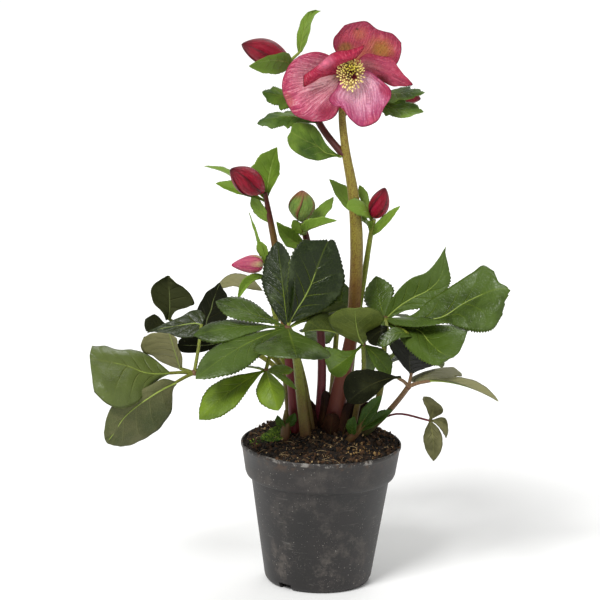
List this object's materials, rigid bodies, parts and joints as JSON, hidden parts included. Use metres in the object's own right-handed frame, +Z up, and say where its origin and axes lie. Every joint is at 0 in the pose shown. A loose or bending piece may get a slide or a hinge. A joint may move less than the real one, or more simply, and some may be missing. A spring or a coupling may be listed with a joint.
{
  "type": "potted plant",
  "caption": "Hellebore in a round nursery pot: serrated palmate leaves, leafy flower stems with an open bloom and closed buds, and young shoots in dark soil.",
  "frame": {"origin": "middle of the pot's flat underside, where it stands on a surface", "axes": "+Z up, +X to the right and +Y away from the viewer, as the picture shows it, with the open bloom facing -Y"},
  "size_m": [0.3054, 0.2361, 0.4352],
  "materials": {
    "pot_plastic": "matte, dusty and scuffed",
    "soil": "moist fibrous potting soil, crumbly",
    "leaf_dark": "dark green, glossy, pale veins",
    "leaf_fresh": "fresh green, glossy",
    "leaf_dusky": "grey and purple tinged green, pale underside",
    "bract_green": "bright green, satin",
    "stem_red": "speckled green to dark red, satin, with green bracts",
    "sepal_pink": "deep pink with darker veins and margins, satin",
    "bud_crimson": "dark crimson, satin",
    "stamen_yellow": "cream yellow, matte",
    "pistil_maroon": "maroon, satin"
  },
  "bodies": {
    "root": {"pot": "pot_plastic", "soil": "soil", "leaf_front": "leaf_dark", "leaf_right": "leaf_dark", "leaf_back": "leaf_dark", "leaf_back_left": "leaf_dark", "leaf_back_right": "leaf_dark", "leaf_low_front": "leaf_fresh", "leaf_middle": "leaf_fresh", "leaf_left_low": "leaf_dusky", "leaf_left_back": "leaf_dusky", "leaf_right_low": "leaf_dusky", "leaf_small": "leaf_dusky", "flower_stem_main": "stem_red", "flower_stem_left": "stem_red", "flower_stem_centre": "stem_red", "flower_stem_right": "stem_red", "flower_stem_low": "stem_red", "shoot_left": "bract_green", "shoot_right": "bract_green", "bloom_sepals": "sepal_pink", "bloom_stamens": "stamen_yellow", "bloom_pistils": "pistil_maroon", "bud_top": "bud_crimson", "bud_left": "bud_crimson", "bud_centre": "bud_crimson", "bud_right": "bud_crimson", "bud_low": "bud_crimson", "bud_behind": "bud_crimson"}
  },
  "joints": []
}
